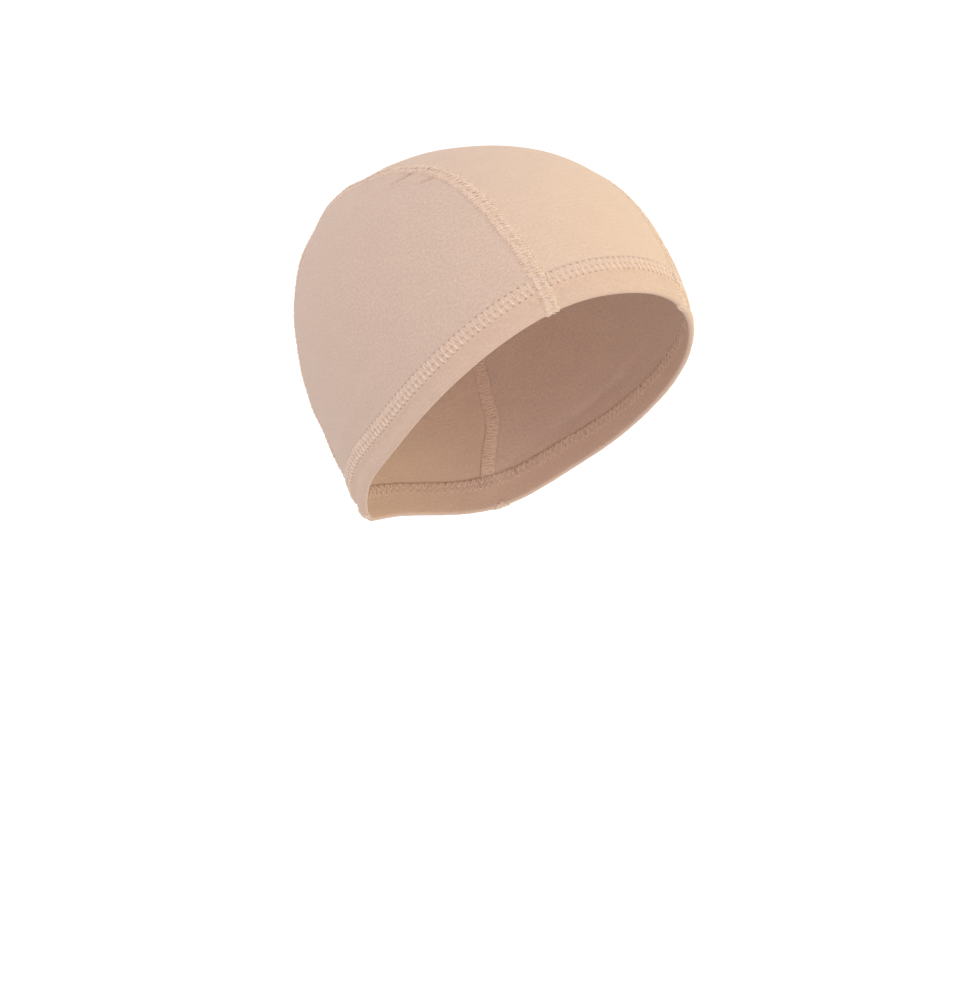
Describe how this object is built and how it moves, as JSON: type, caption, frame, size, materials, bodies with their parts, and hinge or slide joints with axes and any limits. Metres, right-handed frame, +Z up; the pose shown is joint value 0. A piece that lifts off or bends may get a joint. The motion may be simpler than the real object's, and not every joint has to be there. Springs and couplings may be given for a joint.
{
  "type": "wig cap",
  "caption": "Close dome cap of thin stretch jersey in its worn form, with a centre panel over the crown, side panels, flat seams and a turned-up hem.",
  "frame": {"origin": "inside of the crown, where the top of a head meets the cap", "axes": "+Z up through the crown, -Y towards the forehead, +Y towards the nape, +X towards the wearer's left"},
  "size_m": [0.1566, 0.1885, 0.167],
  "materials": {
    "jersey": "matt fine-knit stretch jersey, nude beige",
    "seam_thread": "matt overlapped cloth covered with fine thread",
    "hem_jersey": "matt doubled jersey with cover stitching"
  },
  "bodies": {
    "root": {"centre_panel": "jersey", "side_panel_right": "jersey", "side_panel_left": "jersey", "seam_right": "seam_thread", "seam_left": "seam_thread", "hem_band": "hem_jersey"}
  },
  "joints": []
}
